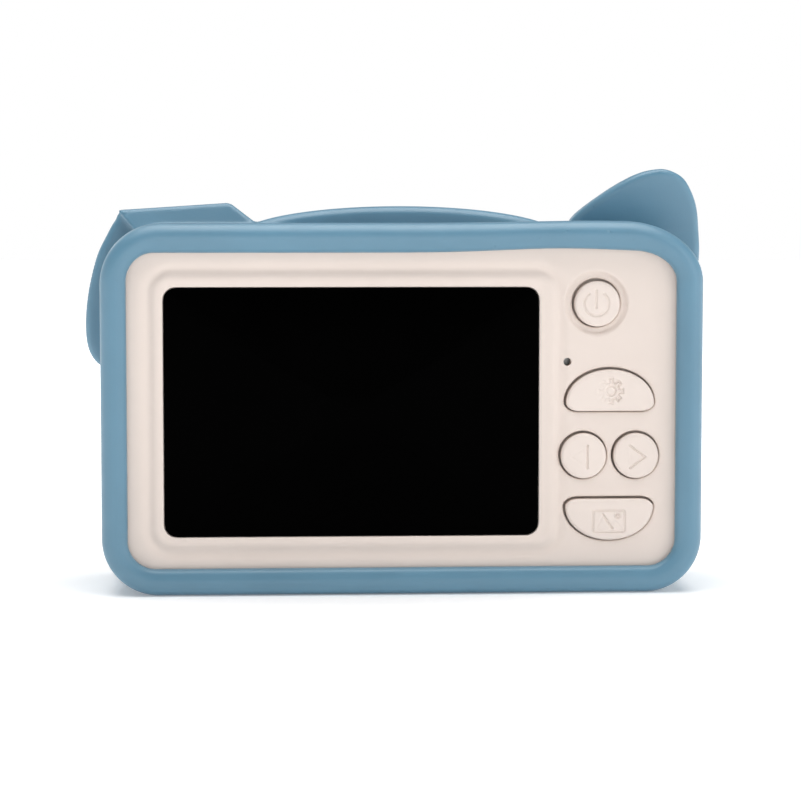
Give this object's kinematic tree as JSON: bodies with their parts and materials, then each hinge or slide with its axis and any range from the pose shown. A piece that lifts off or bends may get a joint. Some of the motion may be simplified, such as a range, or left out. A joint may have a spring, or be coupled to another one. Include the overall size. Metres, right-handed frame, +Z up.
{
  "type": "kids digital camera",
  "caption": "Palm-sized toy digital camera with a rear screen and keys, in a soft silicone cover with an upright ear and a folded ear.",
  "frame": {"origin": "middle of the flat base of the silicone cover, which the camera stands on", "axes": "+Z up, the screen faces -Y, the lens faces +Y, +X to the right of somebody looking at the screen"},
  "size_m": [0.1014, 0.0365, 0.0674],
  "materials": {
    "silicone_blue": "matt",
    "abs_beige": "fine satin",
    "key_beige": "fine satin",
    "glass_black": "polished",
    "glass_clear": "polished",
    "lcd_grey": "smooth",
    "plastic_white": "moulded",
    "plastic_black": "moulded",
    "foam_black": "foam",
    "board_green": "solder mask",
    "flex_amber": "smooth film",
    "steel": "plated",
    "foil_silver": "foil laminate",
    "led_yellow": "phosphor",
    "wire_red": "insulation",
    "wire_black": "insulation"
  },
  "bodies": {
    "camera": {"silicone_cover": "silicone_blue", "rear_housing": "abs_beige", "front_housing": "abs_beige", "screen_window": "glass_black", "lcd_cell": "lcd_grey", "lcd_backlight": "plastic_white", "lcd_foam_pad": "foam_black", "lcd_flex": "flex_amber", "lcd_connector": "plastic_white", "power_switch": "plastic_black", "settings_switch": "plastic_black", "left_switch": "plastic_black", "right_switch": "plastic_black", "gallery_switch": "plastic_black", "shutter_switch": "plastic_black", "shutter_board": "board_green", "main_board": "board_green", "processor_chip": "plastic_black", "memory_chip": "plastic_black", "microphone": "steel", "microphone_boot": "foam_black", "usb_socket": "steel", "card_socket": "steel", "battery": "foil_silver", "battery_connector": "plastic_white", "battery_wire_red": "wire_red", "battery_wire_black": "wire_black", "speaker": "plastic_black", "speaker_gasket": "foam_black", "speaker_wire_red": "wire_red", "speaker_wire_black": "wire_black", "camera_board": "board_green", "camera_flex": "flex_amber", "sensor_holder": "plastic_black", "lens_barrel": "plastic_black", "flash_led": "led_yellow", "flash_window": "glass_clear", "lens_ring": "abs_beige", "lens_window": "glass_clear", "case_screw_1": "steel", "case_screw_2": "steel", "case_screw_3": "steel", "case_screw_4": "steel", "board_screw_1": "steel", "board_screw_2": "steel", "board_screw_3": "steel"},
    "power_key": {"power_button": "key_beige", "power_switch_stem": "plastic_white"},
    "settings_key": {"settings_button": "key_beige", "settings_switch_stem": "plastic_white"},
    "left_key": {"left_button": "key_beige", "left_switch_stem": "plastic_white"},
    "right_key": {"right_button": "key_beige", "right_switch_stem": "plastic_white"},
    "gallery_key": {"gallery_button": "key_beige", "gallery_switch_stem": "plastic_white"},
    "shutter_key": {"shutter_button": "key_beige", "shutter_switch_stem": "plastic_white"},
    "card": {"memory_card": "plastic_black"}
  },
  "joints": [
    {"name": "power_press", "type": "slide", "parent": "camera", "child": "power_key", "axis": [0, 1, 0], "range_m": [0, 0.0005], "stiffness_N_per_m": 2000, "springref_m": -0.0003},
    {"name": "settings_press", "type": "slide", "parent": "camera", "child": "settings_key", "axis": [0, 1, 0], "range_m": [0, 0.0005], "stiffness_N_per_m": 2000, "springref_m": -0.0003},
    {"name": "left_press", "type": "slide", "parent": "camera", "child": "left_key", "axis": [0, 1, 0], "range_m": [0, 0.0005], "stiffness_N_per_m": 2000, "springref_m": -0.0003},
    {"name": "right_press", "type": "slide", "parent": "camera", "child": "right_key", "axis": [0, 1, 0], "range_m": [0, 0.0005], "stiffness_N_per_m": 2000, "springref_m": -0.0003},
    {"name": "gallery_press", "type": "slide", "parent": "camera", "child": "gallery_key", "axis": [0, 1, 0], "range_m": [0, 0.0005], "stiffness_N_per_m": 2000, "springref_m": -0.0003},
    {"name": "shutter_press", "type": "slide", "parent": "camera", "child": "shutter_key", "axis": [0, 0, -1], "range_m": [0, 0.0006], "stiffness_N_per_m": 2000, "springref_m": -0.0003},
    {"name": "card_slide", "type": "slide", "parent": "camera", "child": "card", "axis": [-1, 0, 0], "range_m": [0, 0.016]}
  ]
}
